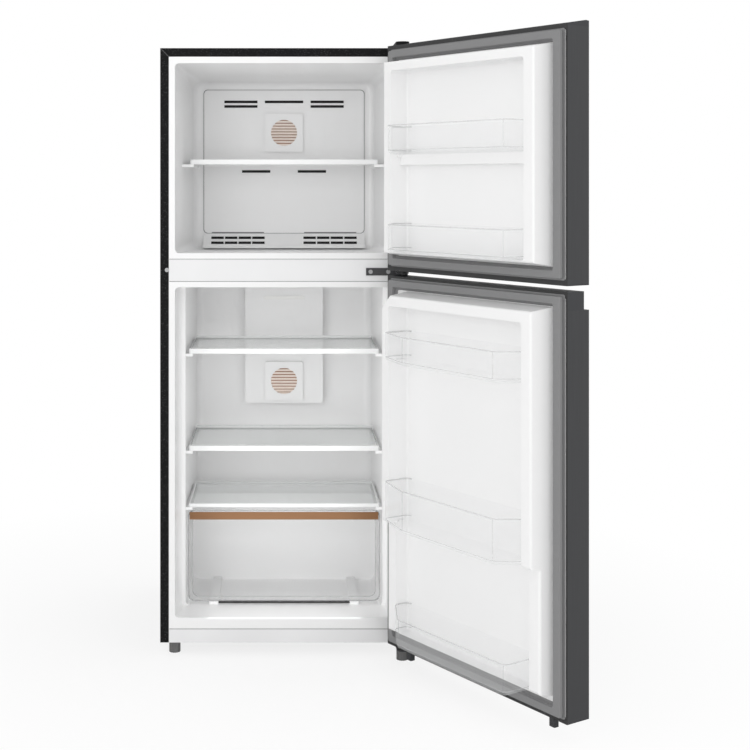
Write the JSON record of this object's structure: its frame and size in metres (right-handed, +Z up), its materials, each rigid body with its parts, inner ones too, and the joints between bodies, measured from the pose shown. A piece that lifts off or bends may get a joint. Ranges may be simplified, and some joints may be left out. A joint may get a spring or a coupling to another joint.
{
  "type": "top freezer refrigerator",
  "caption": "Household refrigerator with its freezer on top. Both right-hinged doors stand open on glass shelves, clear door bins and a clear crisper drawer.",
  "frame": {"origin": "on the floor, at the middle of the cabinet's footprint without its doors", "axes": "+Z up, -Y out of the front of the cabinet, +X to the right as seen from the front, towards the hinges"},
  "size_m": [0.8444, 1.0497, 1.35],
  "materials": {
    "shell": "satin",
    "door_skin": "satin",
    "door_cap": "satin",
    "white_rail": "satin",
    "liner": "satin",
    "galvanised": "satin",
    "foam": "matte",
    "gasket": "matte",
    "clear_plastic": "gloss",
    "shelf_glass": "gloss",
    "white_plastic": "satin",
    "strip": "satin",
    "filter": "matte",
    "lens": "satin",
    "aluminium": "satin",
    "black_enamel": "gloss",
    "rubber": "matte",
    "black_plastic": "satin",
    "grey_plastic": "satin",
    "copper": "satin",
    "hinge_steel": "satin",
    "screw_steel": "satin"
  },
  "bodies": {
    "cabinet": {"outer_shell": "shell", "rear_panel": "galvanised", "base_pan": "galvanised", "bottom_rail": "white_rail", "cabinet_foam": "foam", "freezer_liner": "liner", "fridge_liner": "liner", "mullion_rail": "white_rail", "evaporator_cover": "white_plastic", "evaporator_coil": "aluminium", "defrost_heater": "lens", "fan_motor": "galvanised", "filter_covers": "white_plastic", "deodorizer_filters": "filter", "duct_cover": "white_plastic", "lamp_lens": "lens", "compressor": "black_enamel", "compressor_grommets": "rubber", "relay_box": "black_plastic", "drip_tray": "black_plastic", "refrigerant_tubes": "copper", "compressor_cover": "galvanised", "power_inlet": "black_plastic", "compressor_tray": "galvanised", "top_hinge": "hinge_steel", "top_hinge_cover": "black_plastic", "middle_hinge": "hinge_steel", "bottom_hinge": "hinge_steel", "cabinet_screws": "screw_steel"},
    "freezer_door": {"freezer_door_skin": "door_skin", "freezer_door_caps": "door_cap", "freezer_door_foam": "foam", "freezer_door_liner": "liner", "freezer_door_gasket": "gasket"},
    "fridge_door": {"fridge_door_skin": "door_skin", "fridge_door_caps": "door_cap", "fridge_door_foam": "foam", "fridge_door_liner": "liner", "fridge_door_gasket": "gasket"},
    "freezer_shelf": {"freezer_shelf_glass": "shelf_glass", "freezer_shelf_trim": "white_plastic"},
    "upper_shelf": {"upper_shelf_glass": "shelf_glass", "upper_shelf_trim": "white_plastic"},
    "lower_shelf": {"lower_shelf_glass": "shelf_glass", "lower_shelf_trim": "white_plastic"},
    "crisper_cover": {"crisper_cover_glass": "shelf_glass", "crisper_cover_frame": "white_plastic"},
    "crisper": {"crisper_drawer": "clear_plastic", "crisper_strip": "strip"},
    "evaporator_fan": {"fan_blade": "white_plastic"},
    "left_foot": {"front_foot_left": "grey_plastic"},
    "right_foot": {"front_foot_right": "grey_plastic"},
    "left_roller": {"rear_roller_left": "grey_plastic"},
    "right_roller": {"rear_roller_right": "grey_plastic"},
    "freezer_bin_upper_body": {"freezer_bin_upper": "clear_plastic"},
    "freezer_bin_lower_body": {"freezer_bin_lower": "clear_plastic"},
    "fridge_bin_top_body": {"fridge_bin_top": "clear_plastic"},
    "fridge_bin_middle_body": {"fridge_bin_middle": "clear_plastic"},
    "fridge_bin_bottom_body": {"fridge_bin_bottom": "clear_plastic"}
  },
  "joints": [
    {"name": "freezer_door_hinge", "type": "hinge", "parent": "cabinet", "child": "freezer_door", "pos_m": [0.2585, -0.305, 1.1], "axis": [0, 0, 1], "range_deg": [-123, 0]},
    {"name": "fridge_door_hinge", "type": "hinge", "parent": "cabinet", "child": "fridge_door", "pos_m": [0.2585, -0.305, 0.44], "axis": [0, 0, 1], "range_deg": [-123, 0]},
    {"name": "freezer_shelf_slide", "type": "slide", "parent": "cabinet", "child": "freezer_shelf", "axis": [0, -1, 0], "range_m": [0, 0.2]},
    {"name": "upper_shelf_slide", "type": "slide", "parent": "cabinet", "child": "upper_shelf", "axis": [0, -1, 0], "range_m": [0, 0.19]},
    {"name": "lower_shelf_slide", "type": "slide", "parent": "cabinet", "child": "lower_shelf", "axis": [0, -1, 0], "range_m": [0, 0.19]},
    {"name": "crisper_cover_slide", "type": "slide", "parent": "cabinet", "child": "crisper_cover", "axis": [0, -1, 0], "range_m": [0, 0.18]},
    {"name": "crisper_slide", "type": "slide", "parent": "cabinet", "child": "crisper", "axis": [0, -1, 0], "range_m": [0, 0.19]},
    {"name": "evaporator_fan_spin", "type": "hinge", "parent": "cabinet", "child": "evaporator_fan", "pos_m": [0, 0.164, 1.192], "axis": [0, 1, 0], "continuous": true},
    {"name": "left_foot_turn", "type": "hinge", "parent": "cabinet", "child": "left_foot", "pos_m": [-0.243, -0.24, 0.011], "axis": [0, 0, 1], "continuous": true},
    {"name": "right_foot_turn", "type": "hinge", "parent": "cabinet", "child": "right_foot", "pos_m": [0.2585, -0.292, 0.011], "axis": [0, 0, 1], "continuous": true},
    {"name": "left_roller_spin", "type": "hinge", "parent": "cabinet", "child": "left_roller", "pos_m": [-0.22, 0.235, 0.015], "axis": [1, 0, 0], "continuous": true},
    {"name": "right_roller_spin", "type": "hinge", "parent": "cabinet", "child": "right_roller", "pos_m": [0.22, 0.235, 0.015], "axis": [1, 0, 0], "continuous": true},
    {"name": "freezer_bin_upper_lift", "type": "slide", "parent": "freezer_door", "child": "freezer_bin_upper_body", "axis": [0, 0, 1], "range_m": [0, 0.025]},
    {"name": "freezer_bin_lower_lift", "type": "slide", "parent": "freezer_door", "child": "freezer_bin_lower_body", "axis": [0, 0, 1], "range_m": [0, 0.025]},
    {"name": "fridge_bin_top_lift", "type": "slide", "parent": "fridge_door", "child": "fridge_bin_top_body", "axis": [0, 0, 1], "range_m": [0, 0.025]},
    {"name": "fridge_bin_middle_lift", "type": "slide", "parent": "fridge_door", "child": "fridge_bin_middle_body", "axis": [0, 0, 1], "range_m": [0, 0.025]},
    {"name": "fridge_bin_bottom_lift", "type": "slide", "parent": "fridge_door", "child": "fridge_bin_bottom_body", "axis": [0, 0, 1], "range_m": [0, 0.025]}
  ]
}
